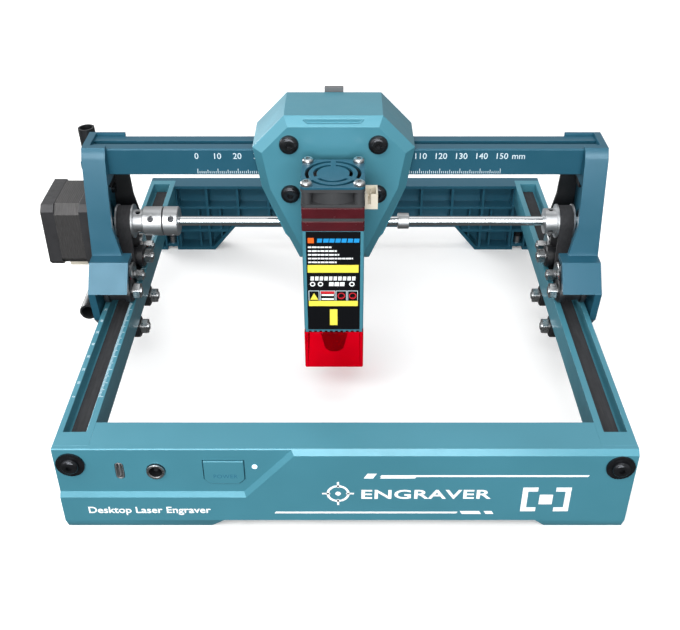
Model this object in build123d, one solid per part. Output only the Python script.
"""Desktop laser engraver: open frame, belt-driven gantry, carriage and laser module.

Design axes, in mm: X across the machine from its middle, Y back from the front
panel's face, Z up from the floor.  Every node is moved by one shift at the end,
so that the origin is the middle of the underside of the whole machine's box.
"""
from build123d import *
from math import cos, pi, sin
import os

# ---------------------------------------------------------------- driving sizes
PANEL_HALF = 124.0          # half the front panel's width
PANEL_DEPTH = 19.0
FRAME_TOP = 46.5            # top of the front panel and of the rails
RAIL_IN, RAIL_LOW = 108.5, 33.0
RAIL_START, RAIL_END = 4.0, 254.0
REAR_START, REAR_END = 246.0, 258.0
RAIL_MID = (RAIL_IN + PANEL_HALF) / 2 + 0.25     # middle of the belt channel
CHANNEL_HALF, CHANNEL_FLOOR = 5.0, 40.0
BELT_WIDE, BELT_TOP = 7.0, 41.4

PLATE_IN, PLATE_OUT = 125.0, 128.5               # the gantry brackets' outer plates
POST_IN = 117.0
SHAFT_Y, SHAFT_Z, SHAFT_R = 150.0, 74.3, 2.5
IDLER_OFFSET, IDLER_Z, IDLER_R = 15.5, 50.1, 7.0
UPPER_ROLLER_Z, LOWER_ROLLER_Z, ROLLER_R = 52.65, 26.85, 6.0
ROLLER_YS = (115.0, 150.0)
LOWER_YS = (120.0, 150.0)

BEAM_HALF, BEAM_FRONT, BEAM_BACK = 125.0, 133.0, 149.0
BEAM_LOW, BEAM_TOP = 109.5, 123.5
BEAM_SCREW_Y, BEAM_SCREW_Z = 141.0, 116.5

CARRIAGE_X = -5.5
COVER_FRONT = 124.8
WHEEL_R = 6.0
X_PULLEY_Y, X_BELT_Z = 169.0, 116.5

MODULE_HALF, MODULE_FRONT, MODULE_BACK = 14.5, 87.0, 118.0
SHIELD_LOW, SHIELD_TOP = 24.6, 45.9
HOUSING_LOW, HOUSING_TOP = 48.3, 103.3
BAND_TOP, FAN_TOP, GUARD_TOP = 115.2, 124.2, 125.4
FAN_Y = (MODULE_FRONT + MODULE_BACK) / 2

NODES = {}


# --------------------------------------------------------------------- helpers
def box(x0, x1, y0, y1, z0, z1):
    """A block between two corners."""
    middle = Pos((x0 + x1) / 2, (y0 + y1) / 2, (z0 + z1) / 2)
    return middle * Box(x1 - x0, y1 - y0, z1 - z0)


def rod_x(y, z, radius, x0, x1):
    return Pos((x0 + x1) / 2, y, z) * Rot(0, 90, 0) * Cylinder(radius, x1 - x0)


def rod_y(x, z, radius, y0, y1):
    return Pos(x, (y0 + y1) / 2, z) * Rot(90, 0, 0) * Cylinder(radius, y1 - y0)


def rod_z(x, y, radius, z0, z1):
    return Pos(x, y, (z0 + z1) / 2) * Cylinder(radius, z1 - z0)


def prism(points, axis, start, end, taper=0):
    """A polygon pushed along X, Y or Z; its points are the other two coordinates."""
    place = {
        "x": lambda p: (start, p[0], p[1]),
        "y": lambda p: (p[0], start, p[1]),
        "z": lambda p: (p[0], p[1], start),
    }[axis]
    way = {"x": (1, 0, 0), "y": (0, 1, 0), "z": (0, 0, 1)}[axis]
    face = make_face(Polyline(*[place(p) for p in points], close=True))
    side = 1 if end > start else -1
    push = Vector(*way) * side
    return extrude(face, amount=abs(end - start), dir=push, taper=taper)


def both_sides(shape):
    """The shape and its mirror image across the middle plane."""
    return [shape, mirror(shape, about=Plane.YZ)]


def node(name, *pieces):
    """Keep one sub-part as a list of solids."""
    solids = []
    for piece in pieces:
        for item in (piece if isinstance(piece, (list, tuple)) else [piece]):
            solids += list(item.solids())
    NODES[name] = solids


def cut_hex(x, y, z, across, depth, axis):
    """The hexagon socket in a cap head, opening along the axis towards + depth."""
    sketch = extrude(RegularPolygon(across / 2, 6, major_radius=False), amount=abs(depth))
    turn = {
        ("x", True): Rot(0, 90, 0), ("x", False): Rot(0, -90, 0),
        ("y", True): Rot(-90, 0, 0), ("y", False): Rot(90, 0, 0),
        ("z", True): Rot(0, 0, 0), ("z", False): Rot(180, 0, 0),
    }[(axis, depth > 0)]
    return Pos(x, y, z) * turn * sketch


# ------------------------------------------------------------------ fixed frame
ARCH_TOP, FLOOR_THICK = 6.0, 1.6
FOOT_PROFILE = [                       # the panel's underside between its two feet
    (-60.7, 0), (-53.4, ARCH_TOP), (84.2, ARCH_TOP), (90, 0),
]
FLOOR_EDGE = [(92.0, 0), (84.9, ARCH_TOP + FLOOR_THICK), (-54.1, ARCH_TOP + FLOOR_THICK), (-62.6, 0)]
FOOT_PLATE_IN = (-62.0, 91.5)          # where the sheets under the two feet begin
FOOT_LEAN = 2.6                        # the face leans back this far from ARCH_TOP down
RECESS = 1.8                           # how far the control area is set back
WALL = 2.2
CAVITY_HALF = 106.0
USB_X, DC_X, PORT_Z = -96.5, -81.0, 34.2
LED_X, LED_Z = -38.6, 36.6
BUTTON = [(-58.0, 27.0), (-45.7, 27.0), (-43.2, 29.5), (-43.2, 40.0), (-60.5, 40.0), (-60.5, 29.5)]
BUTTON_GAP = 0.35
BUTTON_FLANGE_START, BUTTON_FLANGE_END = 4.1, 5.1
BOARD_START, BOARD_END = 9.0, 10.6
BOARD_X, BOARD_Z = (-103.0, -33.0), (24.0, 43.0)
PANEL_BOLT_X, PANEL_BOLT_Z = 117.0, 38.0
M5_CLEAR, M4_TAP = 2.6, 2.0             # hole radii
TOP_CHAMFER, RECESS_LOW, RECESS_SLANT = 2.2, 22.0, (-43.9, -22.2)
USB_HALF, DC_HOLE_R, LED_HOLE_R = (1.95, 4.75), 4.15, 1.15
FOOT_PLATE_Z = 0.6


def grown(points, amount):
    """The polygon with its edges moved outwards."""
    return offset(make_face(Polyline(*points, close=True)), amount, kind=Kind.INTERSECTION)


def button_block(amount, start, end):
    """The power button's outline, grown by an amount and pushed along Y."""
    sheet = grown(BUTTON, amount)
    return Pos(0, end, 0) * Rot(90, 0, 0) * extrude(sheet, amount=end - start)


def front_panel():
    shell = box(-PANEL_HALF, PANEL_HALF, 0, PANEL_DEPTH, 0, FRAME_TOP)
    top_front = shell.edges().filter_by(Axis.X).sort_by(Axis.Z)[-2:].sort_by(Axis.Y)[0]
    shell = chamfer(top_front, TOP_CHAMFER)
    shell -= prism([(p[0], p[1] - (1 if p[1] == 0 else 0)) for p in FOOT_PROFILE],
                   "y", -1, PANEL_DEPTH + 1)
    shell -= prism([(-1, ARCH_TOP), (0, ARCH_TOP), (FOOT_LEAN, 0), (FOOT_LEAN, -1), (-1, -1)], "x",
                   -PANEL_HALF - 1, PANEL_HALF + 1)
    recess_outline = [(-140, RECESS_LOW), (RECESS_SLANT[0], RECESS_LOW),
                      (RECESS_SLANT[1], FRAME_TOP), (RECESS_SLANT[1], 60), (-140, 60)]
    shell -= prism(recess_outline, "y", RECESS, -0.5, taper=-48)
    shell -= box(-CAVITY_HALF, CAVITY_HALF, RECESS + WALL, PANEL_DEPTH - WALL, -1, FRAME_TOP - WALL)
    for side in (-1, 1):
        shell -= box(*sorted((side * CAVITY_HALF, side * (PANEL_HALF - WALL))),
                     RECESS + WALL, PANEL_DEPTH - WALL, -1, RAIL_LOW - WALL)
        shell -= box(*sorted((side * RAIL_IN, side * (PANEL_HALF + 1))),
                     RAIL_START, PANEL_DEPTH + 1, RAIL_LOW, FRAME_TOP + 1)
        shell -= rod_y(side * PANEL_BOLT_X, PANEL_BOLT_Z, M5_CLEAR, -1, RAIL_START + 1)
    # the arch between the feet has its own sheet, and foot_plates close the feet
    shell += prism(FOOT_PROFILE + FLOOR_EDGE, "y", RECESS + WALL - 0.5, PANEL_DEPTH - WALL + 0.5)
    usb_hole = box(USB_X - USB_HALF[0], USB_X + USB_HALF[0], -1, 6,
                   PORT_Z - USB_HALF[1], PORT_Z + USB_HALF[1])
    shell -= fillet(usb_hole.edges().filter_by(Axis.Y), USB_HALF[0] - 0.05)
    shell -= rod_y(DC_X, PORT_Z, DC_HOLE_R, -1, 6)
    shell -= rod_y(LED_X, LED_Z, LED_HOLE_R, -1, 6)
    shell -= button_block(BUTTON_GAP, -1, 6)
    return shell


def foot_plates():
    """Sheet covers that close the two hollow feet from below."""
    y0, y1 = RECESS + WALL, PANEL_DEPTH - WALL
    z0, z1 = FOOT_PLATE_Z, FOOT_PLATE_Z + FLOOR_THICK
    return [box(-PANEL_HALF + WALL, FOOT_PLATE_IN[0], y0, y1, z0, z1),
            box(FOOT_PLATE_IN[1], PANEL_HALF - WALL, y0, y1, z0, z1)]


def control_board():
    board = box(*BOARD_X, BOARD_START, BOARD_END, *BOARD_Z)
    push_switch = box(-54.5, -49.5, 7.3, BOARD_START, 31, 36)
    chips = [box(x, x + 7, BOARD_END, BOARD_END + 1.2, 27, 34) for x in (-76, -64)]
    capacitors = [rod_y(x, 40, 2.5, BOARD_END, BOARD_END + 5.5) for x in (-92, -85)]
    return [board, push_switch] + chips + capacitors


def usb_socket():
    shell = box(USB_X - 1.7, USB_X + 1.7, RECESS - 0.1, BOARD_START, PORT_Z - 4.5, PORT_Z + 4.5)
    shell = fillet(shell.edges().filter_by(Axis.Y), 1.6)
    mouth = box(USB_X - 1.35, USB_X + 1.35, 0, 7.6, PORT_Z - 4.15, PORT_Z + 4.15)
    shell -= fillet(mouth.edges().filter_by(Axis.Y), 1.3)
    return shell + box(USB_X - 0.35, USB_X + 0.35, 2.4, 8, PORT_Z - 3.3, PORT_Z + 3.3)


def dc_jack():
    body = rod_y(DC_X, PORT_Z, 4.0, RECESS - 0.6, 4.5) + box(
        DC_X - 4.5, DC_X + 4.5, 4.3, BOARD_START, PORT_Z - 4.5, PORT_Z + 4.5)
    body -= rod_y(DC_X, PORT_Z, 2.8, 0, 8)
    return body + rod_y(DC_X, PORT_Z, 1.0, 2.4, 8.4)


def status_led():
    return [rod_y(LED_X, LED_Z, 1.1, RECESS - 0.2, BOARD_START)]


def power_button():
    cap = button_block(0, RECESS - 0.6, BUTTON_FLANGE_START + 0.1)
    flange = button_block(1.6, BUTTON_FLANGE_START, BUTTON_FLANGE_END)
    return cap + flange


def rail(side):
    outer = box(RAIL_IN, PANEL_HALF, RAIL_START, RAIL_END, RAIL_LOW, FRAME_TOP)
    outer -= box(RAIL_MID - CHANNEL_HALF, RAIL_MID + CHANNEL_HALF,
                 RAIL_START + 9, RAIL_END - 5, CHANNEL_FLOOR, FRAME_TOP + 1)
    outer -= box(RAIL_MID - 5.5, RAIL_MID + 5.5, RAIL_START - 1, RAIL_END + 1, RAIL_LOW + 1.6,
                 CHANNEL_FLOOR - 1.5)
    outer -= rod_y(PANEL_BOLT_X, PANEL_BOLT_Z, M4_TAP, RAIL_START - 1, RAIL_START + 12)
    return outer if side > 0 else mirror(outer, about=Plane.YZ)


def y_belts():
    strip = box(RAIL_MID - BELT_WIDE / 2, RAIL_MID + BELT_WIDE / 2,
                RAIL_START + 10, RAIL_END - 6, CHANNEL_FLOOR, BELT_TOP)
    return both_sides(strip)


def button_head_y(x, z, radius, tall, face, shank_radius, shank_end):
    """A round-headed socket screw seen from the front, its head on the plane y = face."""
    head = rod_y(x, z, radius, face - tall, face)
    head = fillet(head.edges().sort_by(Axis.Y)[0], tall * 0.8)
    head += rod_y(x, z, shank_radius, face - 0.1, shank_end)
    return head - cut_hex(x, face - tall - 0.1, z, radius * 0.62, tall * 0.75, "y")


def rail_bolts():
    made = []
    for side in (-1, 1):
        x = side * PANEL_BOLT_X
        face = RECESS if side < 0 else 0.0
        washer = rod_y(x, PANEL_BOLT_Z, 6.2, face - 0.9, face) - rod_y(x, PANEL_BOLT_Z, M5_CLEAR, -3, 5)
        made += [washer, button_head_y(x, PANEL_BOLT_Z, 3.9, 2.2, face - 0.9, 1.95, 13.0)]
    return made


REAR_WALL, REAR_RIB, RIB_PITCH, RIBS_A_SIDE = 2.0, 1.6, 19.7, 6
ARCH_Z, LEG_FOOT_X, LEG_TOP_X = 17.0, 85.7, 71.5
NOTCH_IN, NOTCH_OUT, NOTCH_TOP, LUG_LOW, LUG_TOP = 110.5, 117.0, 12.8, 2.0, 4.0
LEG_SCREW_X, LEG_SCREW_Y, LEG_SCREW_R, SPACER_TOP = 113.75, 250.5, 1.5, 9.0
MIDDLE_RIB_Z, LEG_RIB_Z, LEDGE_Z = (29.6, 31.2), (12.8, 14.4), (31.0, 33.0)
LEG_RIBS_X, LEG_RIB_HALF, LEG_RIB_IN, LEDGE_IN = (81.0, 95.0), 0.6, 70.0, 107.0


def rear_beam():
    half = PANEL_HALF
    outline = [(-half, 0), (-LEG_FOOT_X, 0), (-LEG_TOP_X, ARCH_Z), (LEG_TOP_X, ARCH_Z),
               (LEG_FOOT_X, 0), (half, 0), (half, FRAME_TOP), (-half, FRAME_TOP)]
    solid = prism(outline, "y", REAR_START, REAR_END)
    inner = extrude(grown(outline, -REAR_WALL), amount=REAR_END - REAR_START - REAR_WALL)
    pocket = Pos(0, REAR_END - REAR_WALL, 0) * Rot(90, 0, 0) * inner
    ribs = []
    for i in range(RIBS_A_SIDE):
        for side in (-1, 1):
            x = side * RIB_PITCH * (i + 0.5)
            ribs.append(box(x - REAR_RIB / 2, x + REAR_RIB / 2, REAR_START + 1, REAR_END, 0, 46))
    ribs.append(box(-half, half, REAR_START + 1, REAR_END, *MIDDLE_RIB_Z))
    for side in (-1, 1):
        for x in LEG_RIBS_X:
            ribs.append(box(side * x - LEG_RIB_HALF, side * x + LEG_RIB_HALF, REAR_START + 2.5,
                            REAR_END, 0, MIDDLE_RIB_Z[0] + 0.4))
        ribs.append(box(*sorted((side * LEG_RIB_IN, side * half)), REAR_START + 1, REAR_END,
                        *LEG_RIB_Z))
        for x in (NOTCH_IN - LEG_RIB_HALF, NOTCH_OUT + LEG_RIB_HALF):
            ribs.append(box(side * x - LEG_RIB_HALF, side * x + LEG_RIB_HALF, REAR_START, REAR_END,
                            0, LEG_RIB_Z[1] - 0.4))
        ribs.append(box(*sorted((side * NOTCH_IN, side * NOTCH_OUT)), REAR_START + 1, REAR_END,
                        LUG_LOW, LUG_TOP))
        ribs.append(box(*sorted((side * LEDGE_IN, side * half)), REAR_START, REAR_END, *LEDGE_Z))
    solid -= pocket
    for rib in ribs:
        solid += rib & prism(outline, "y", REAR_START, REAR_END)
    for side in (-1, 1):
        notch = sorted((side * NOTCH_IN, side * NOTCH_OUT))
        solid -= box(*notch, REAR_START - 1, REAR_END - REAR_WALL, -1, LUG_LOW)
        solid -= box(*notch, REAR_START - 1, REAR_END - REAR_WALL, LUG_TOP, NOTCH_TOP)
        solid -= rod_z(side * LEG_SCREW_X, LEG_SCREW_Y, LEG_SCREW_R + 0.1, 0, 6)
        solid -= box(*sorted((side * RAIL_IN, side * (half + 1))), REAR_START - 1, RAIL_END,
                     RAIL_LOW, FRAME_TOP + 1)
    return solid


def leg_screws():
    made = []
    for side in (-1, 1):
        x = side * LEG_SCREW_X
        head = rod_z(x, LEG_SCREW_Y, 2.9, SPACER_TOP, SPACER_TOP + 3)
        head -= cut_hex(x, LEG_SCREW_Y, SPACER_TOP + 3.1, 3.0, -1.8, "z")
        made.append(head + rod_z(x, LEG_SCREW_Y, LEG_SCREW_R, 0.6, SPACER_TOP + 0.1))
    return made


def leg_spacers():
    return [rod_z(side * LEG_SCREW_X, LEG_SCREW_Y, 2.6, LUG_TOP, SPACER_TOP)
            - rod_z(side * LEG_SCREW_X, LEG_SCREW_Y, LEG_SCREW_R + 0.1, LUG_TOP - 1, SPACER_TOP + 1)
            for side in (-1, 1)]


# ----------------------------------------------------------------------- gantry
POST_LEAN = [(118.6, 71.4), (128.0, 120.0)]      # front face of the post, side view
FOOT_FRONT, FOOT_BACK_Y = (101.0, 59.2), 111.7
SHELL = 2.6
CAP_TOP, CAP_BACK, CAP_LOW = 125.0, 150.2, 106.0
PLATE_REAR = 172.0
MOTOR_HALF, MOTOR_END, MOTOR_HOLE, MOTOR_BOSS_R = 17.6, 155.5, 13.0, 11.0
BEARING_R = 5.0
PULLEY_START, PULLEY_END, PULLEY_BODY = 112.8, 121.0, 6.9
BELT_THICK = 1.4
SLEEVE_R, SLEEVE_BORE = 4.35, 3.3
SLEEVE_ROUTE = [(-133.2, 111, 42), (-133.6, 173, 42), (-136.8, 173.4, 117.5)]
SADDLE_YS, SADDLE_Z, ARM_Z, ARM_BACK = (124.0, 158.0), (37.5, 46.5), (97.0, 101.0), 178.5
ARM_FRONT, ARM_OUT = 148.0, -140.6


def axle_places():
    """Where bolts cross the outer plate: (y, z) of the rollers and the belt idlers."""
    upper = [(y, UPPER_ROLLER_Z) for y in ROLLER_YS]
    lower = [(y, LOWER_ROLLER_Z) for y in LOWER_YS]
    idlers = [(SHAFT_Y + s * IDLER_OFFSET, IDLER_Z) for s in (-1, 1)]
    return upper + lower, idlers


def motor_holes():
    return [(SHAFT_Y + a * MOTOR_HOLE, SHAFT_Z + b * MOTOR_HOLE) for a in (-1, 1) for b in (-1, 1)]


def sleeve_path():
    return FilletPolyline(*SLEEVE_ROUTE, radius=22)


def sleeve_tube(outer, inner):
    path = sleeve_path()
    start = Plane(path @ 0, z_dir=path % 0)
    section = start * Circle(outer)
    tube = sweep(section, path=path)
    if inner:
        tube -= sweep(start * Circle(inner), path=path)
    return tube


def bracket(side):
    """One gantry end: outer plate, leaning post, foot block and the beam's seat."""
    (y_low, z_low), (y_high, z_high) = POST_LEAN
    profile = [FOOT_FRONT, (FOOT_BACK_Y, z_low), (y_low, z_low), (y_high, z_high), (131.0, CAP_TOP),
               (CAP_BACK, CAP_TOP), (CAP_BACK, 100), (PLATE_REAR, 84), (PLATE_REAR, 20),
               (112.0, 20), (112.0, 33), (104.0, 42)]
    body = prism(profile, "x", PLATE_IN, PLATE_OUT)
    slab = prism([(y_low, z_low), (y_high, z_high), (131.0, CAP_TOP), (134.2, CAP_TOP),
                  (y_high + SHELL, z_high), (y_low + SHELL, z_low)], "x", 100, PLATE_OUT)
    post_front = prism([(POST_IN, CAP_TOP), (POST_IN, 86), (113.4, z_low), (PLATE_OUT, z_low),
                        (PLATE_OUT, CAP_TOP)], "y", 100, 170)
    body += slab & post_front
    foot = [FOOT_FRONT, (FOOT_BACK_Y, z_low), (y_low + SHELL, z_low), (y_low + SHELL, z_low - SHELL),
            (112.9, z_low - SHELL), (104.6, FOOT_FRONT[1])]
    body += prism(foot, "x", 109.0, PLATE_OUT)
    seat = box(POST_IN, PLATE_OUT, 127, CAP_BACK, CAP_LOW, CAP_TOP)
    seat += box(110.5, PLATE_OUT, BEAM_BACK, CAP_BACK, CAP_LOW, CAP_TOP)
    seat = seat & prism([(y_high - 2.7, CAP_LOW), (y_high, z_high), (131.0, CAP_TOP),
                         (CAP_BACK, CAP_TOP), (CAP_BACK, CAP_LOW)], "x", 100, PLATE_OUT)
    seat -= box(100, BEAM_HALF, BEAM_FRONT, BEAM_BACK, BEAM_LOW, CAP_TOP + 1)
    body += seat
    rollers, idlers = axle_places()
    for y, z in rollers:
        body -= rod_x(y, z, AXLE_R + 0.05, PLATE_IN - 1, PLATE_OUT + 1)
    for y, z in idlers:
        body -= rod_x(y, z, IDLER_AXLE_R + 0.05, PLATE_IN - 1, PLATE_OUT + 1)
    if side > 0:
        body -= rod_x(SHAFT_Y, SHAFT_Z, BEARING_R, PLATE_IN - 1, PLATE_OUT + 1)
    else:
        body -= rod_x(SHAFT_Y, SHAFT_Z, MOTOR_BOSS_R + 0.2, PLATE_IN - 1, PLATE_OUT + 1)
        for y, z in motor_holes():
            body -= rod_x(y, z, 1.6, PLATE_IN - 1, PLATE_OUT + 1)
    body -= rod_x(BEAM_SCREW_Y, BEAM_SCREW_Z, 2.1, PLATE_IN - 1, PLATE_OUT + 1)
    if side > 0:
        return body
    body = mirror(body, about=Plane.YZ)
    bore = sleeve_tube(SLEEVE_R, 0)
    for y in SADDLE_YS:                # saddles between the plate and the cable sleeve
        body += box(SLEEVE_ROUTE[0][0], -PLATE_OUT, y - 2, y + 2, *SADDLE_Z)
    body += box(ARM_OUT, -PLATE_OUT, 166, ARM_BACK, *ARM_Z)
    body += box(-PLATE_OUT - 3.5, -PLATE_OUT, ARM_FRONT, ARM_BACK, *ARM_Z)
    body += box(-PLATE_OUT, -PLATE_IN, ARM_FRONT, 155.2, *ARM_Z)
    return body - bore


SLOT_HALF, T_HALF = 1.9, 3.4            # the beam's top slot and the wider channel below it
SLOT_DEEP, T_DEEP, T_START = 3.0, 4.2, 1.8
BELT_GROOVE_Z, LOW_CHANNEL_Y, LOW_CHANNEL_Z = (112.6, 120.4), (135.0, 145.4), (111.5, 117.0)


def beam():
    bar = box(-BEAM_HALF, BEAM_HALF, BEAM_FRONT, BEAM_BACK, BEAM_LOW, BEAM_TOP)
    long_edges = bar.edges().filter_by(Axis.X)
    bar = chamfer(long_edges, 0.6)
    middle = (BEAM_FRONT + BEAM_BACK) / 2
    span = (-BEAM_HALF - 1, BEAM_HALF + 1)
    bar -= box(*span, middle - SLOT_HALF, middle + SLOT_HALF, BEAM_TOP - SLOT_DEEP, BEAM_TOP + 1)
    bar -= box(*span, middle - T_HALF, middle + T_HALF, BEAM_TOP - T_DEEP, BEAM_TOP - T_START)
    bar -= box(*span, BEAM_BACK - 1.6, BEAM_BACK + 1, *BELT_GROOVE_Z)
    bar -= box(*span, *LOW_CHANNEL_Y, *LOW_CHANNEL_Z)
    for side in (-1, 1):
        bar -= rod_x(BEAM_SCREW_Y, BEAM_SCREW_Z, 2.0, *sorted((side * 120, side * (BEAM_HALF + 1))))
    return bar


def belt_guards():
    sheet = prism([(PLATE_IN, 58), (PLATE_IN, 99), (PLATE_IN - 0.5, 108), (116.5, 108),
                   (115, 82), (110, 58)], "y", 166.0, 168.0)
    foot = box(PLATE_IN - 1.6, PLATE_IN, 156, 166.2, 91, 98)
    return both_sides(sheet + foot)


def y_belt_loops():
    """The raised loop of each belt over its pulley and under its two idlers."""
    y0, y1 = SHAFT_Y - IDLER_OFFSET, SHAFT_Y + IDLER_OFFSET
    inner_r, thick = PULLEY_BODY + 0.1, BELT_THICK
    pieces = []
    half_loop = inner_r + thick
    low = IDLER_Z - IDLER_R - 0.1
    x0, x1 = RAIL_MID - BELT_WIDE / 2, RAIL_MID + BELT_WIDE / 2
    ring = rod_x(SHAFT_Y, SHAFT_Z, half_loop, x0, x1) - rod_x(SHAFT_Y, SHAFT_Z, inner_r, x0 - 1, x1 + 1)
    pieces.append(ring & box(x0, x1, 100, 200, SHAFT_Z, 200))
    for sign, y in ((-1, y0), (1, y1)):
        wrap = rod_x(y, IDLER_Z, IDLER_R + 0.1 + thick, x0, x1) - rod_x(
            y, IDLER_Z, IDLER_R + 0.1, x0 - 1, x1 + 1)
        inward = sorted((y, y - sign * 20))
        pieces.append(wrap & box(x0, x1, *inward, low - thick - 1, IDLER_Z))
        near = SHAFT_Y + sign * inner_r
        far = SHAFT_Y + sign * half_loop
        idler_near = y - sign * (IDLER_R + 0.1)
        idler_far = y - sign * (IDLER_R + 0.1 + thick)
        strand = [(near, SHAFT_Z), (far, SHAFT_Z), (idler_near, IDLER_Z), (idler_far, IDLER_Z)]
        pieces.append(prism(strand, "x", x0, x1))
        tail = sorted((y, y + sign * 5.5))
        pieces.append(box(x0, x1, *tail, low - thick, low))
    whole = pieces[0]
    for piece in pieces[1:]:
        whole += piece
    return both_sides(whole)


# ------------------------------------------------------------ drive of the gantry
CAP_CHAMFER, STATOR_CHAMFER = 3.0, 4.6
MOTOR_FACE = -PLATE_OUT
REAR_CAP, FRONT_CAP = 6.7, 7.5
PULLEY_FLANGE, HUB_END = 9.0, 112.0
COUPLING_R, COLLAR_R, COLLAR_X = 7.75, 4.2, (28.0, 34.0)
COUPLING_START, COUPLING_MID, COUPLING_END = -107.0, -96.4, -88.3
HUB_LEFT, HUB_RIGHT = -112.0, 106.0
TEETH = 24


def motor_block(start, end, half, edge):
    block = box(start, end, SHAFT_Y - half, SHAFT_Y + half, SHAFT_Z - half, SHAFT_Z + half)
    return chamfer(block.edges().filter_by(Axis.X), edge)


def y_motor_caps():
    rear = motor_block(-MOTOR_END, -MOTOR_END + REAR_CAP, MOTOR_HALF, CAP_CHAMFER)
    front = motor_block(MOTOR_FACE - FRONT_CAP, MOTOR_FACE, MOTOR_HALF, CAP_CHAMFER)
    boss = rod_x(SHAFT_Y, SHAFT_Z, MOTOR_BOSS_R, MOTOR_FACE - 1, MOTOR_FACE + 1.8)
    front = front + boss - rod_x(SHAFT_Y, SHAFT_Z, 4.0, MOTOR_FACE - 4, MOTOR_FACE + 4)
    front -= rod_x(SHAFT_Y, SHAFT_Z, SHAFT_R + 0.05, MOTOR_FACE - 9, MOTOR_FACE + 4)
    for y, z in motor_holes():
        front -= rod_x(y, z, 1.45, MOTOR_FACE - 4, MOTOR_FACE + 1)
    return [rear, front]


def y_motor_stator():
    stack = motor_block(-MOTOR_END + REAR_CAP, MOTOR_FACE - FRONT_CAP, MOTOR_HALF - 0.1,
                        STATOR_CHAMFER)
    return stack - rod_x(SHAFT_Y, SHAFT_Z, 8, -MOTOR_END, MOTOR_FACE)


def drive_shafts():
    """The motor's own shaft with its rotor, and the long shaft across the machine."""
    rotor = rod_x(SHAFT_Y, SHAFT_Z, 7.7, -MOTOR_END + REAR_CAP + 1, MOTOR_FACE - FRONT_CAP - 1)
    motor_shaft = rotor + rod_x(SHAFT_Y, SHAFT_Z, SHAFT_R, MOTOR_FACE - 10, COUPLING_MID - 1)
    return [motor_shaft, rod_x(SHAFT_Y, SHAFT_Z, SHAFT_R, COUPLING_MID + 1, PLATE_OUT - 0.2)]


def radial_screw_hole(shape, x, angle, hub_radius, hole_radius=1.6):
    drill = Pos(x, SHAFT_Y, SHAFT_Z) * Rot(angle, 0, 0) * Pos(0, 0, hub_radius) * Cylinder(
        hole_radius, 5)
    return shape - drill


def shaft_coupling():
    outer = COUPLING_R
    body = rod_x(SHAFT_Y, SHAFT_Z, outer, COUPLING_START, COUPLING_END)
    body = chamfer(body.edges().filter_by(GeomType.CIRCLE), 0.4)
    body -= rod_x(SHAFT_Y, SHAFT_Z, SHAFT_R, COUPLING_START - 1, COUPLING_END + 1)
    ring = rod_x(SHAFT_Y, SHAFT_Z, outer + 1, COUPLING_MID - 0.4, COUPLING_MID + 0.4)
    ring -= rod_x(SHAFT_Y, SHAFT_Z, 4.0, COUPLING_MID - 1, COUPLING_MID + 1)
    body -= ring
    for x in (COUPLING_START + 4.6, COUPLING_END - 3.4):
        body = radial_screw_hole(body, x, 145, outer)
        body = radial_screw_hole(body, x, 55, outer)
    return body


def drive_pulley(side):
    hub_r = 6.1 if side < 0 else 6.75
    body = rod_x(SHAFT_Y, SHAFT_Z, PULLEY_BODY, PULLEY_START, PULLEY_END)
    for x in (PULLEY_START - 0.8, PULLEY_END - 0.8):
        body += rod_x(SHAFT_Y, SHAFT_Z, PULLEY_FLANGE, x, x + 0.8)
    for i in range(TEETH):
        turn = 2 * pi * i / TEETH
        body -= rod_x(SHAFT_Y + PULLEY_BODY * cos(turn), SHAFT_Z + PULLEY_BODY * sin(turn), 0.45,
                      PULLEY_START, PULLEY_END - 0.8)
    inner_end = -HUB_LEFT - 5.0 + 0.02 if side < 0 else HUB_RIGHT
    body += rod_x(SHAFT_Y, SHAFT_Z, hub_r, inner_end, HUB_END + 0.1)
    body -= rod_x(SHAFT_Y, SHAFT_Z, SHAFT_R, inner_end - 1, PULLEY_END + 2)
    for angle in (0, 120) if side > 0 else (15, 128):
        body = radial_screw_hole(body, (inner_end + HUB_END) / 2, angle, hub_r, 1.35)
    return body if side > 0 else mirror(body, about=Plane.YZ)


def shaft_collar():
    collar = rod_x(SHAFT_Y, SHAFT_Z, COLLAR_R, *COLLAR_X)
    collar -= rod_x(SHAFT_Y, SHAFT_Z, SHAFT_R, COLLAR_X[0] - 1, COLLAR_X[1] + 1)
    return chamfer(collar.edges().filter_by(GeomType.CIRCLE).sort_by(Axis.Z)[-2:], 0.3)


def shaft_bearing():
    """A flanged ball bearing pressed in the right-hand plate."""
    outer = rod_x(SHAFT_Y, SHAFT_Z, BEARING_R, PLATE_IN, PLATE_OUT)
    outer += rod_x(SHAFT_Y, SHAFT_Z, BEARING_R + 0.8, PLATE_IN - 0.8, PLATE_IN)
    return outer - rod_x(SHAFT_Y, SHAFT_Z, SHAFT_R + 0.05, PLATE_IN - 2, PLATE_OUT + 1)


# ------------------------------------------------------------- rollers and idlers
AXLE_R, AXLE_INNER, AXLE_HEAD_R, AXLE_NUT = 2.0, 104.5, 4.0, 7.4
IDLER_AXLE_R, IDLER_AXLE_INNER, IDLER_HEAD_R, IDLER_HEAD_TALL, IDLER_NUT = 1.5, 107.0, 2.9, 0.65, 5.6
ROLLER_START, ROLLER_END, GROOVE = 109.2, 123.4, (112.4, 120.8)
IDLER_START, IDLER_END = 112.7, 120.3


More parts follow.
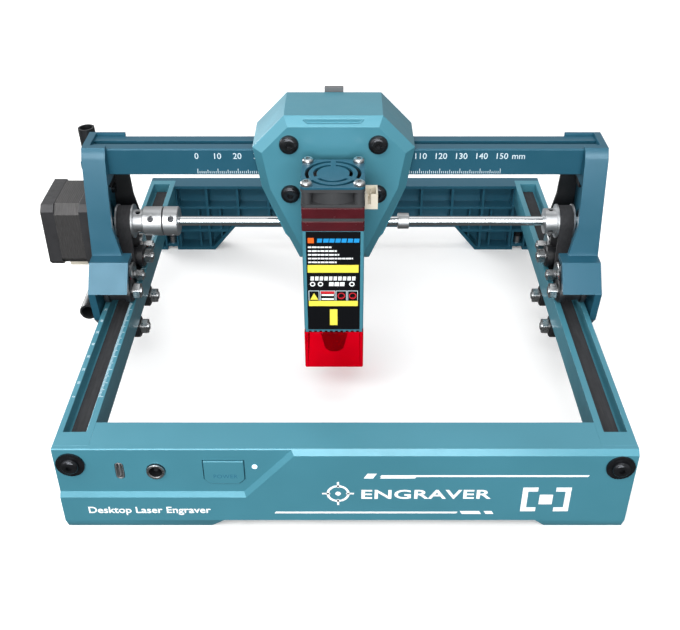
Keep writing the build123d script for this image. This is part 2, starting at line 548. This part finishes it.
def bolt_x(y, z, radius, inner, head_radius, nut_across, flange, tall=2.2):
    """A shoulder bolt through the outer plate, with a nut on its free inner end."""
    bolt = rod_x(y, z, radius, inner, PLATE_OUT + 0.1)
    head = rod_x(y, z, head_radius, PLATE_OUT, PLATE_OUT + tall)
    head = fillet(head.edges().filter_by(GeomType.CIRCLE).sort_by(Axis.X)[-1], tall * 0.6)
    head -= cut_hex(PLATE_OUT + tall + 0.1, y, z, head_radius, -tall * 0.7, "x")
    nut = extrude(RegularPolygon(nut_across / 2, 6, major_radius=False), amount=3.2)
    nut = Pos(inner + 0.8, y, z) * Rot(0, 90, 0) * nut
    nut = nut & rod_x(y, z, nut_across * 0.56, inner, inner + 5)
    spacer = rod_x(y, z, radius + 1.0, inner + 3.9, flange)
    return bolt + head + nut + spacer


def roller_axles():
    rollers, idlers = axle_places()
    made = []
    for y, z in rollers:
        made += both_sides(bolt_x(y, z, AXLE_R, AXLE_INNER, AXLE_HEAD_R, AXLE_NUT,
                                  ROLLER_START - 0.15))
    for y, z in idlers:
        made += both_sides(bolt_x(y, z, IDLER_AXLE_R, IDLER_AXLE_INNER, IDLER_HEAD_R, IDLER_NUT,
                                  IDLER_START - 0.3, IDLER_HEAD_TALL))
    return made


def axle_sleeves():
    """Spacers between the outer plate and each roller or idler."""
    rollers, idlers = axle_places()
    made = []
    for y, z in rollers:
        tube = rod_x(y, z, 3.2, ROLLER_END + 0.2, PLATE_IN) - rod_x(y, z, AXLE_R, 120, 130)
        made += both_sides(tube)
    for y, z in idlers:
        tube = rod_x(y, z, 2.4, IDLER_END + 0.2, PLATE_IN) - rod_x(y, z, IDLER_AXLE_R, 118, 130)
        made += both_sides(tube)
    return made


def roller_pair(y, z):
    tread = rod_x(y, z, ROLLER_R, ROLLER_START, ROLLER_END)
    tread = chamfer(tread.edges().filter_by(GeomType.CIRCLE), 0.5)
    groove = rod_x(y, z, ROLLER_R + 1, *GROOVE) - rod_x(y, z, ROLLER_R - 1.2, 112, 121)
    tread -= groove
    return both_sides(tread - rod_x(y, z, AXLE_R + 0.06, ROLLER_START - 1, ROLLER_END + 1))


def idler_pair(y):
    wheel = rod_x(y, IDLER_Z, IDLER_R, IDLER_START, IDLER_END)
    wheel = chamfer(wheel.edges().filter_by(GeomType.CIRCLE), 0.3)
    return both_sides(wheel - rod_x(y, IDLER_Z, 1.56, IDLER_START - 1, IDLER_END + 1))


def gantry_screws():
    made = []
    for side in (-1, 1):
        bolt = rod_x(BEAM_SCREW_Y, BEAM_SCREW_Z, 2.0, 120.6, PLATE_OUT + 0.1)
        head = rod_x(BEAM_SCREW_Y, BEAM_SCREW_Z, 4.4, PLATE_OUT, PLATE_OUT + 2.4)
        head = fillet(head.edges().filter_by(GeomType.CIRCLE).sort_by(Axis.X)[-1], 1.5)
        head -= cut_hex(PLATE_OUT + 2.5, BEAM_SCREW_Y, BEAM_SCREW_Z, 3.6, -1.5, "x")
        whole = bolt + head
        made.append(whole if side > 0 else mirror(whole, about=Plane.YZ))
    for y, z in motor_holes():
        screw = rod_x(y, z, 1.45, -PLATE_OUT - 4, -PLATE_IN + 0.1)
        head = rod_x(y, z, 2.6, -PLATE_IN, -PLATE_IN + 1.8)
        made.append(screw + head - cut_hex(-PLATE_IN + 1.9, y, z, 2.4, -1.1, "x"))
    return made


def cable_sleeve():
    return [sleeve_tube(SLEEVE_R, SLEEVE_BORE)]


# --------------------------------------------------------------------- carriage
COVER = [(-23.6, 142.8), (23.6, 142.8), (39.4, 126.6), (35.7, 105.0), (18.0, 64.7),
         (-18.0, 64.7), (-35.7, 105.0), (-39.4, 126.6)]
COVER_BEVEL_Y, COVER_BACK, COVER_LOWER_BACK = 128.6, 158.4, 136.0
COVER_WALL = 2.4
SKIRT = [(34.5, 104.0), (35.4, 104.4), (25.0, 78.6), (22.6, 75.6), (21.8, 76.0)]   # lip on each side
SHOULDER_Z, BEAM_CLEAR_LOW = 126.6, 106.5
HEAD_X, HEAD_Z = 21.4, (129.6, 103.4)
FRONT_PLATE, REAR_PLATE = (129.2, 131.8), (151.0, 154.0)
WHEEL_START, WHEEL_END = 136.4, 145.6
WHEEL_BOLT_R, WHEEL_SPACER_R = 2.4, 3.4
X_BELT_WIDE, X_BELT_FRONT, X_BELT_BACK = 6.0, 147.5, 148.9
X_LOOP_R, X_IDLER_R = 6.2, 4.0
X_IDLER_OFFSET = X_LOOP_R + BELT_THICK + 0.1 + X_IDLER_R
X_TAIL_FRONT = X_BELT_BACK + 0.2
X_IDLER_Y = X_TAIL_FRONT + BELT_THICK + 0.1 + X_IDLER_R
X_MOTOR_HALF, X_MOTOR_TOP, X_MOTOR_LOW = 14.0, 110.0, 84.0
X_PULLEY_TEETH, X_FLANGE_R, X_PULLEY_HALF = 20, 8.2, 3.4
REAR_PLATE_HALF, REAR_PLATE_Z, SHELF_HALF, SHELF_THICK = 27.0, (96.0, 134.6), 17.5, 2.0
IDLER_SHELF_Z, IDLER_SHELF_END, MOTOR_SHELF_END = 121.5, 160.5, 183.5
CLIP_HALF, CLIP_Y, CLIP_Z = 4.75, (159.0, 161.4), (125.0, 145.0)
GUIDE_HALF, GUIDE_FRONT, GUIDE_LOW, GUIDE_TOP = 6.0, 121.2, 67.0, 120.0
GUIDE_GROOVE = (122.6, 123.8)


def at_carriage(shape):
    return Pos(CARRIAGE_X, 0, 0) * shape


def carriage_cover():
    """The faceted shell: bevelled front, shoulders over the beam, open behind."""
    body = prism(COVER, "y", COVER_BEVEL_Y, COVER_BACK)
    body += prism(COVER, "y", COVER_BEVEL_Y, COVER_FRONT, taper=49)
    inner = extrude(grown(COVER, -COVER_WALL), amount=40)
    body -= Pos(0, COVER_BEVEL_Y + 40, 0) * Rot(90, 0, 0) * inner
    body -= box(-60, 60, FRONT_PLATE[1] - 0.2, 170, BEAM_CLEAR_LOW, SHOULDER_Z)
    body -= box(-60, 60, COVER_LOWER_BACK, 170, 50, SHOULDER_Z)
    grip = prism([(-14.5, 150), (-14.5, 140.9), (-12.3, 139.6), (12.3, 139.6), (14.5, 140.9),
                  (14.5, 150)], "y", 120, 127.4)
    body -= grip
    skirt = prism(SKIRT, "y", COVER_BEVEL_Y, COVER_LOWER_BACK)
    body = body + skirt + mirror(skirt, about=Plane.YZ)
    for x in (-HEAD_X, HEAD_X):
        for z in HEAD_Z:
            body -= rod_y(x, z, M5_CLEAR, 120, 130)
    return at_carriage(body)


def carriage_plates():
    """Front and rear steel plates with the shelves for the motor and the belt idlers."""
    inner = grown(COVER, -COVER_WALL - 0.3)
    front = Pos(0, FRONT_PLATE[1], 0) * Rot(90, 0, 0) * extrude(
        inner, amount=FRONT_PLATE[1] - FRONT_PLATE[0])
    front = front & box(-60, 60, 100, 140, 68, 141)
    rear = box(-REAR_PLATE_HALF, REAR_PLATE_HALF, *REAR_PLATE, *REAR_PLATE_Z)
    rear -= box(-SHELF_HALF, SHELF_HALF, 150, 155, X_MOTOR_TOP + SHELF_THICK, IDLER_SHELF_Z)
    shelf = box(-SHELF_HALF, SHELF_HALF, REAR_PLATE[1], MOTOR_SHELF_END,
                X_MOTOR_TOP, X_MOTOR_TOP + SHELF_THICK)
    shelf -= rod_z(0, X_PULLEY_Y, 5.6, 100, 120)
    shelf += box(-SHELF_HALF, SHELF_HALF, REAR_PLATE[1], IDLER_SHELF_END,
                 IDLER_SHELF_Z, IDLER_SHELF_Z + SHELF_THICK)
    for side in (-1, 1):
        post = box(*sorted((side * 8, side * 12)), FRONT_PLATE[1], REAR_PLATE[0], 130, REAR_PLATE_Z[1])
        shelf += rod_z(side * X_IDLER_OFFSET, X_IDLER_Y, 1.5, X_MOTOR_TOP + 1, IDLER_SHELF_Z + 0.5)
        rear += post
        for z in HEAD_Z:
            front -= rod_y(side * HEAD_X, z, M5_CLEAR, 128, 133)
            rear -= rod_y(side * HEAD_X, z, WHEEL_BOLT_R + 0.05, 150, 155)
    return [at_carriage(front + rear + shelf)]


def wheel_axles():
    made = []
    for side in (-1, 1):
        for z in HEAD_Z:
            x = side * HEAD_X
            bolt = button_head_y(x, z, 4.75, 2.8, COVER_FRONT, WHEEL_BOLT_R, REAR_PLATE[1] + 5)
            nut = extrude(RegularPolygon(4.0, 6, major_radius=False), amount=4.0)
            nut = Pos(x, REAR_PLATE[1] + 4, z) * Rot(90, 0, 0) * nut
            bolt += nut
            bolt += rod_y(x, z, WHEEL_SPACER_R, FRONT_PLATE[1], WHEEL_START - 0.2)
            bolt += rod_y(x, z, WHEEL_SPACER_R, WHEEL_END + 0.2, REAR_PLATE[0])
            made.append(at_carriage(bolt))
    return made


def x_wheel(side, z):
    x = side * HEAD_X
    wheel = rod_y(x, z, WHEEL_R, WHEEL_START, WHEEL_END)
    wheel = chamfer(wheel.edges().filter_by(GeomType.CIRCLE), 0.9)
    return at_carriage(wheel - rod_y(x, z, WHEEL_BOLT_R + 0.06, WHEEL_START - 1, WHEEL_END + 1))


def x_belt():
    return [box(-120, 120, X_BELT_FRONT, X_BELT_BACK, X_BELT_Z - X_BELT_WIDE / 2,
                X_BELT_Z + X_BELT_WIDE / 2)]


def x_belt_loop():
    low, high = X_BELT_Z - X_BELT_WIDE / 2, X_BELT_Z + X_BELT_WIDE / 2
    outer = X_LOOP_R + BELT_THICK
    ring = rod_z(0, X_PULLEY_Y, outer, low, high) - rod_z(0, X_PULLEY_Y, X_LOOP_R, low - 1, high + 1)
    whole = ring & box(-20, 20, X_PULLEY_Y, 200, low, high)
    back = X_TAIL_FRONT + BELT_THICK
    for side in (-1, 1):
        whole += box(*sorted((side * X_LOOP_R, side * outer)), X_IDLER_Y, X_PULLEY_Y, low, high)
        centre = side * X_IDLER_OFFSET
        gap = X_IDLER_R + 0.1
        wrap = rod_z(centre, X_IDLER_Y, gap + BELT_THICK, low, high) - rod_z(
            centre, X_IDLER_Y, gap, low - 1, high + 1)
        whole += wrap & box(*sorted((centre, centre - side * 9)), X_TAIL_FRONT - 1, X_IDLER_Y,
                            low, high)
        whole += box(*sorted((centre, centre + side * 8)), X_TAIL_FRONT, back, low, high)
    return at_carriage(whole)


def x_pulley():
    low, high = X_BELT_Z - X_PULLEY_HALF, X_BELT_Z + X_PULLEY_HALF
    radius = X_LOOP_R - 0.1
    body = rod_z(0, X_PULLEY_Y, radius, low, high)
    for i in range(X_PULLEY_TEETH):
        turn = 2 * pi * i / X_PULLEY_TEETH
        body -= rod_z(radius * cos(turn), X_PULLEY_Y + radius * sin(turn), 0.45, low + 0.4, high - 0.4)
    body += rod_z(0, X_PULLEY_Y, X_FLANGE_R, low - 0.8, low)
    body += rod_z(0, X_PULLEY_Y, X_FLANGE_R, high, high + 0.8)
    return at_carriage(body + rod_z(0, X_PULLEY_Y, 2.5, X_MOTOR_TOP - 6, high + 3))


def x_idler(side):
    wheel = rod_z(side * X_IDLER_OFFSET, X_IDLER_Y, X_IDLER_R,
                  X_BELT_Z - X_PULLEY_HALF, X_BELT_Z + X_PULLEY_HALF)
    wheel -= rod_z(side * X_IDLER_OFFSET, X_IDLER_Y, 1.56, 100, 130)
    return at_carriage(wheel)


def x_motor():
    half = X_MOTOR_HALF
    body = box(-half, half, X_PULLEY_Y - half, X_PULLEY_Y + half, X_MOTOR_LOW, X_MOTOR_TOP)
    body = chamfer(body.edges().filter_by(Axis.Z), 2.5)
    body -= rod_z(0, X_PULLEY_Y, 2.56, X_MOTOR_TOP - 7, X_MOTOR_TOP + 1)
    for z in (X_MOTOR_LOW + 7, X_MOTOR_TOP - 7):
        band = box(-half - 1, half + 1, X_PULLEY_Y - half - 1, X_PULLEY_Y + half + 1, z - 0.3, z + 0.3)
        band -= box(-half + 0.5, half - 0.5, X_PULLEY_Y - half + 0.5, X_PULLEY_Y + half - 0.5,
                    z - 1, z + 1)
        body -= band
    return [at_carriage(body)]


def cable_holder():
    clip = box(-CLIP_HALF, CLIP_HALF, *CLIP_Y, *CLIP_Z)
    clip += box(-CLIP_HALF, CLIP_HALF, REAR_PLATE[1], CLIP_Y[1], CLIP_Z[0], CLIP_Z[0] + 2)
    clip -= box(-2.6, 2.6, 158, 163, 137, 139)
    return at_carriage(clip)


def slide_guide():
    guide = box(-GUIDE_HALF, GUIDE_HALF, GUIDE_FRONT, COVER_FRONT, GUIDE_LOW, GUIDE_TOP)
    for side in (-1, 1):
        guide -= box(*sorted((side * (GUIDE_HALF - 1.2), side * (GUIDE_HALF + 1))),
                     GUIDE_GROOVE[0], GUIDE_GROOVE[1], 60, 130)
    return at_carriage(guide)


# ----------------------------------------------------------------- laser module
FAN_HALF, FAN_PITCH, FAN_BORE = 14.7, 12.0, 13.6
HOUSING_BASE = 46.2
SLIDE_HALF, SLIDE_BACK, SLIDE_Z = 10.0, 124.3, (70.0, 108.0)
MODULE_WALL = 2.0
BAND_BAR, BAND_WALL = (108.4, 109.9), 2.4
FINS, FIN_HALF, FIN_LOW, CORE_HALF = 7, 0.6, 66.0, 9.0
BLADES, FAN_HUB_R, FAN_SCREW_R = 7, 6.4, 1.35
GUARD_RINGS = ((13.1, 11.4), (9.2, 7.6))
CONNECTOR_WIDE, CONNECTOR_Y, CONNECTOR_Z = 6.3, (98.0, 108.0), (109.0, 116.6)
SHIELD_HALF, SHIELD_WALL, SHIELD_FRONT = 14.65, 1.6, MODULE_FRONT - 0.15
NOZZLE_R, NOZZLE_TIP_R, NOZZLE_LOW, NOZZLE_BORE = 9.4, 5.0, 26.4, 3.6
NOTCHES, NOTCH_PITCH, NOTCH_HALF, NOTCH_HIGH = 10, 2.6, 0.7, 47.4


def module_tube(z0, z1, wall=MODULE_WALL, half=MODULE_HALF):
    outer = box(-half, half, MODULE_FRONT, MODULE_BACK, z0, z1)
    outer = fillet(outer.edges().filter_by(Axis.Z), 0.8)
    return outer - box(-half + wall, half - wall, MODULE_FRONT + wall, MODULE_BACK - wall,
                       z0 - 1, z1 + 1)


def module_housing():
    shell = module_tube(HOUSING_BASE, HOUSING_TOP)
    step = module_tube(HOUSING_BASE - 1, HOUSING_LOW, 0.5)
    floor = box(-MODULE_HALF + 1, MODULE_HALF - 1, MODULE_FRONT + 1, MODULE_BACK - 1,
                HOUSING_BASE, HOUSING_LOW)
    floor -= rod_z(0, FAN_Y, NOZZLE_R, 40, 60)
    shell = shell - step + floor
    for i in range(NOTCHES):           # the row of small notches along the front's lower edge
        x = (i - (NOTCHES - 1) / 2) * NOTCH_PITCH
        shell -= box(x - NOTCH_HALF, x + NOTCH_HALF, MODULE_FRONT - 1, MODULE_FRONT + 1.4,
                     HOUSING_BASE - 1, NOTCH_HIGH)
    return at_carriage(shell)


def heat_sink():
    low, high = HOUSING_LOW + 0.2, HOUSING_TOP - 0.6
    inner = MODULE_HALF - MODULE_WALL
    y0, y1 = MODULE_FRONT + MODULE_WALL, MODULE_BACK - MODULE_WALL
    fins = box(-inner, inner, y1 - 4, y1, low, high)
    for i in range(FINS):
        x = -inner + FIN_HALF + i * 2 * (inner - FIN_HALF) / (FINS - 1)
        fins += box(x - FIN_HALF, x + FIN_HALF, y0, y1, FIN_LOW, high)
    core = box(-CORE_HALF, CORE_HALF, FAN_Y - CORE_HALF, y1, low, FIN_LOW + 0.5)
    fins += core - rod_z(0, FAN_Y, 6, 40, 62)
    return at_carriage(fins)


def laser_diode():
    can = rod_z(0, FAN_Y, 4.5, 56.0, 59.5) + rod_z(0, FAN_Y, 6.0, 59.5, 62.0)
    return at_carriage(can)


def lens_nozzle():
    cone_top = HOUSING_BASE - 0.2
    barrel = rod_z(0, FAN_Y, NOZZLE_R, cone_top, HOUSING_LOW + 0.2)
    barrel += Pos(0, FAN_Y, (NOZZLE_LOW + cone_top) / 2) * Cone(
        NOZZLE_TIP_R, NOZZLE_R, cone_top - NOZZLE_LOW)
    barrel = fillet(barrel.edges().filter_by(GeomType.CIRCLE).group_by(Axis.Z)[0], 1.0)
    return at_carriage(barrel - rod_z(0, FAN_Y, NOZZLE_BORE, 30, 60))


def focus_lens():
    return at_carriage(rod_z(0, FAN_Y, NOZZLE_BORE, 38.0, 39.6))


def red_band():
    return [at_carriage(module_tube(HOUSING_TOP, BAND_BAR[0], BAND_WALL)),
            at_carriage(module_tube(BAND_BAR[1], BAND_TOP, BAND_WALL))]


def fan_plate():
    plate = box(-MODULE_HALF + 0.3, MODULE_HALF - 0.3, MODULE_FRONT + 0.3, MODULE_BACK - 0.3,
                *BAND_BAR)
    return at_carriage(plate - rod_z(0, FAN_Y, 11.8, 100, 120))


def square_plate(z0, z1, bore):
    plate = box(-FAN_HALF, FAN_HALF, FAN_Y - FAN_HALF, FAN_Y + FAN_HALF, z0, z1)
    plate = fillet(plate.edges().filter_by(Axis.Z), 2.2)
    return plate - rod_z(0, FAN_Y, bore, z0 - 1, z1 + 1) if bore else plate


def fan_corners():
    return [(a * FAN_PITCH, FAN_Y + b * FAN_PITCH) for a in (-1, 1) for b in (-1, 1)]


def fan_frame():
    low, high = BAND_TOP, FAN_TOP
    body = square_plate(low, low + 1.5, FAN_BORE) + square_plate(high - 1.5, high, FAN_BORE)
    body += rod_z(0, FAN_Y, 14.4, low, high) - rod_z(0, FAN_Y, FAN_BORE, low - 1, high + 1)
    body += rod_z(0, FAN_Y, 5.5, low, low + 1.4)
    for turn in (90, 210, 330):
        spoke = Pos(0, FAN_Y, low + 0.6) * Rot(0, 0, turn) * Pos(9.6, 0, 0) * Box(9.2, 1.6, 1.2)
        body += spoke
    for x, y in fan_corners():
        body += rod_z(x, y, 2.4, low, high)
        body -= rod_z(x, y, FAN_SCREW_R, low - 1, high + 1)
    return at_carriage(body)


def fan_rotor():
    rotor = rod_z(0, FAN_Y, FAN_HUB_R, BAND_TOP + 2.0, FAN_TOP - 0.8)
    for i in range(BLADES):
        blade = Pos(9.6, 0, 0) * Rot(38, 0, 0) * Box(7.0, 0.8, 7.6)
        rotor += Pos(0, FAN_Y, (BAND_TOP + FAN_TOP + 1.2) / 2) * Rot(0, 0, i * 360 / BLADES) * blade
    rotor = rotor & rod_z(0, FAN_Y, FAN_BORE - 0.5, BAND_TOP + 1.9, FAN_TOP - 0.6)
    return at_carriage(rotor)


def fan_guard():
    plate = square_plate(FAN_TOP, GUARD_TOP, 0)
    spokes = None
    for turn in (90, 210, 330):
        spoke = Pos(0, FAN_Y, FAN_TOP) * Rot(0, 0, turn) * Pos(8, 0, 0) * Box(16, 2.4, 10)
        spokes = spoke if spokes is None else spokes + spoke
    for outer, inner in GUARD_RINGS:
        ring = rod_z(0, FAN_Y, outer, FAN_TOP - 1, GUARD_TOP + 1)
        ring -= rod_z(0, FAN_Y, inner, FAN_TOP - 2, GUARD_TOP + 2)
        plate -= ring - spokes
    for x, y in fan_corners():
        plate -= rod_z(x, y, FAN_SCREW_R, FAN_TOP - 1, GUARD_TOP + 1)
    return at_carriage(plate)


def fan_screws():
    made = []
    for x, y in fan_corners():
        head = rod_z(x, y, 2.7, GUARD_TOP, GUARD_TOP + 2.0)
        head = fillet(head.edges().filter_by(GeomType.CIRCLE).sort_by(Axis.Z)[-1], 1.2)
        head -= cut_hex(x, y, GUARD_TOP + 2.1, 2.0, -1.3, "z")
        made.append(at_carriage(head + rod_z(x, y, FAN_SCREW_R - 0.05, BAND_TOP + 0.5, GUARD_TOP + 0.1)))
    return made


def module_connector():
    (y0, y1), (z0, z1) = CONNECTOR_Y, CONNECTOR_Z
    side = MODULE_HALF
    body = box(side, side + CONNECTOR_WIDE, y0, y1, z0, z1)
    body -= box(side - 1, FAN_HALF, y0 - 1, y1 + 1, BAND_TOP, z1 + 1)
    body -= box(side + 1, side + CONNECTOR_WIDE - 1, y0 + 1, y1 - 1, z0 + 2, z1 + 1)
    body -= box(side + 1.6, side + 3.0, y0 - 1, y0 + 1.5, z0 + 2.5, z1 + 1)
    for pin in (-2.5, 0, 2.5):
        y = (y0 + y1) / 2 + pin
        body += box(side + 2.8, side + 3.5, y - 0.35, y + 0.35, z0 + 1, z1 - 1.2)
    return at_carriage(body)


def module_slide():
    carrier = box(-SLIDE_HALF, SLIDE_HALF, MODULE_BACK, SLIDE_BACK, *SLIDE_Z)
    carrier -= box(-GUIDE_HALF - 0.15, GUIDE_HALF + 0.15, GUIDE_FRONT - 0.15, 126, 60, 120)
    for side in (-1, 1):
        tongue = box(*sorted((side * (GUIDE_HALF - 0.9), side * (GUIDE_HALF + 1))),
                     GUIDE_GROOVE[0] + 0.2, GUIDE_GROOVE[1] - 0.2, *SLIDE_Z)
        carrier += tongue
    return at_carriage(carrier)


def beam_shield():
    half = SHIELD_HALF
    outer = box(-half, half, SHIELD_FRONT, MODULE_BACK, SHIELD_LOW, SHIELD_TOP)
    outer = fillet(outer.edges().filter_by(Axis.Z), 1.0)
    return at_carriage(outer - box(-half + SHIELD_WALL, half - SHIELD_WALL,
                                   SHIELD_FRONT + SHIELD_WALL, MODULE_BACK - SHIELD_WALL,
                                   SHIELD_LOW - 1, SHIELD_TOP + 1))


# --------------------------------------------------------------- all the nodes
def build_all():
    node("front_panel", front_panel(), foot_plates())
    node("control_board", control_board())
    node("usb_socket", usb_socket())
    node("dc_jack", dc_jack())
    node("status_led", status_led())
    node("rail_left", rail(-1))
    node("rail_right", rail(1))
    node("y_belts", y_belts())
    node("rear_beam", rear_beam())
    node("rail_bolts", rail_bolts())
    node("leg_screws", leg_screws())
    node("leg_spacers", leg_spacers())
    node("power_button", power_button())
    node("bracket_left", bracket(-1))
    node("bracket_right", bracket(1))
    node("beam", beam())
    node("belt_guards", belt_guards())
    node("y_motor_caps", y_motor_caps())
    node("y_motor_stator", y_motor_stator())
    node("gantry_screws", gantry_screws())
    node("shaft_bearing", shaft_bearing())
    node("roller_axles", roller_axles(), axle_sleeves())
    node("gantry_belts", y_belt_loops(), x_belt())
    node("cable_sleeve", cable_sleeve())
    node("drive_shafts", drive_shafts())
    node("shaft_couplings", shaft_coupling(), shaft_collar())
    node("pulley_left", drive_pulley(-1))
    node("pulley_right", drive_pulley(1))
    for name, ys, z in (("upper", ROLLER_YS, UPPER_ROLLER_Z), ("lower", LOWER_YS, LOWER_ROLLER_Z)):
        for place, y in zip(("front", "rear"), ys):
            node(f"{name}_rollers_{place}", roller_pair(y, z))
    node("idlers_front", idler_pair(SHAFT_Y - IDLER_OFFSET))
    node("idlers_rear", idler_pair(SHAFT_Y + IDLER_OFFSET))
    node("carriage_cover", carriage_cover())
    node("carriage_plates", carriage_plates())
    node("wheel_axles", wheel_axles())
    node("x_motor", x_motor())
    node("x_belt_loop", x_belt_loop())
    node("cable_holder", cable_holder())
    node("slide_guide", slide_guide())
    for height, z in zip(("top", "low"), HEAD_Z):
        for side_name, side in (("left", -1), ("right", 1)):
            node(f"x_wheel_{height}_{side_name}", x_wheel(side, z))
    node("x_pulley", x_pulley())
    node("x_idler_left", x_idler(-1))
    node("x_idler_right", x_idler(1))
    node("module_housing", module_housing())
    node("module_slide", module_slide())
    node("heat_sink", heat_sink())
    node("laser_barrel", lens_nozzle(), laser_diode())
    node("focus_lens", focus_lens())
    node("red_band", red_band())
    node("fan_frame", [fan_frame(), fan_plate()])
    node("fan_guard", fan_guard())
    node("fan_screws", fan_screws())
    node("module_connector", module_connector())
    node("fan_rotor", fan_rotor())
    node("beam_shield", beam_shield())


def export_all():
    """Shift every node to the middle of the underside of the whole box, and write it."""
    boxes = [solid.bounding_box() for solids in NODES.values() for solid in solids]
    low = [min(getattr(b.min, axis) for b in boxes) for axis in ("X", "Y", "Z")]
    high = [max(getattr(b.max, axis) for b in boxes) for axis in ("X", "Y", "Z")]
    shift = Pos(-(low[0] + high[0]) / 2, -(low[1] + high[1]) / 2, -low[2])
    os.makedirs("parts", exist_ok=True)
    for name, solids in NODES.items():
        moved = [shift * solid for solid in solids]
        shape = moved[0] if len(moved) == 1 else Compound(children=moved)
        export_step(shape, f"parts/{name}.step")
    print("nodes", len(NODES), "shift", [round(v, 4) for v in shift.position])


build_all()
export_all()
